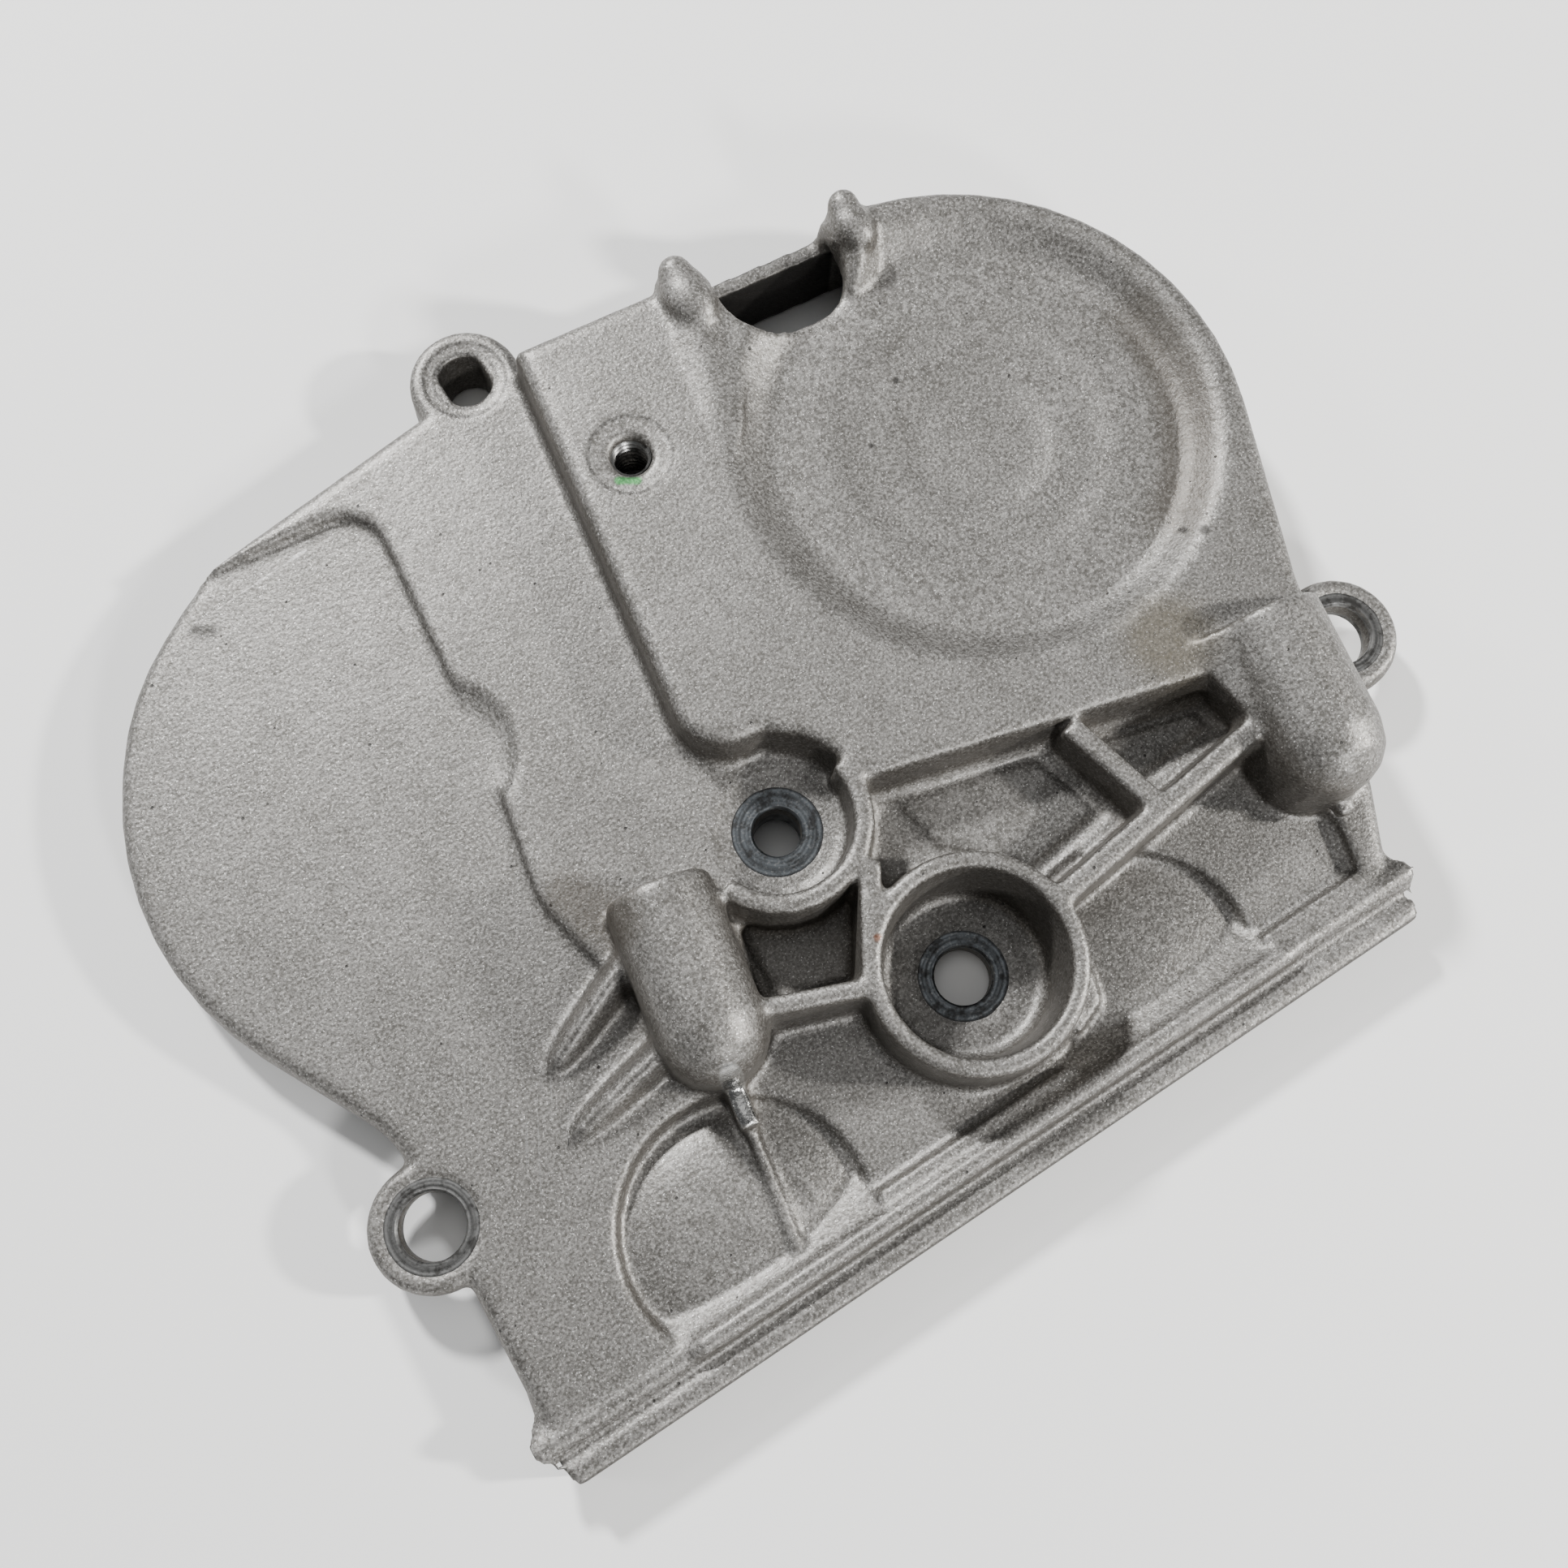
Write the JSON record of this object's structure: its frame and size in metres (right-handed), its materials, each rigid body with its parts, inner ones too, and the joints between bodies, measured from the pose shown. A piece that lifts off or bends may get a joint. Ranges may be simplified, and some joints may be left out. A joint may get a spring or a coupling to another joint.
{
  "type": "timing cover",
  "caption": "Cast aluminium timing cover with a straight sealing rail, bolt ears, round screw bosses, ribs, a round dish and an opening in its top edge.",
  "frame": {"origin": "centre of the bounding box, on the plane of the rear flange", "axes": "+X along the sealing rail, +Y from the rail up the face, +Z out of the face"},
  "size_m": [0.2098, 0.1792, 0.0297],
  "materials": {
    "cast_aluminium": "as cast and blasted, with machined seats and workshop dirt"
  },
  "bodies": {
    "root": {"timing_cover": "cast_aluminium"}
  },
  "joints": []
}
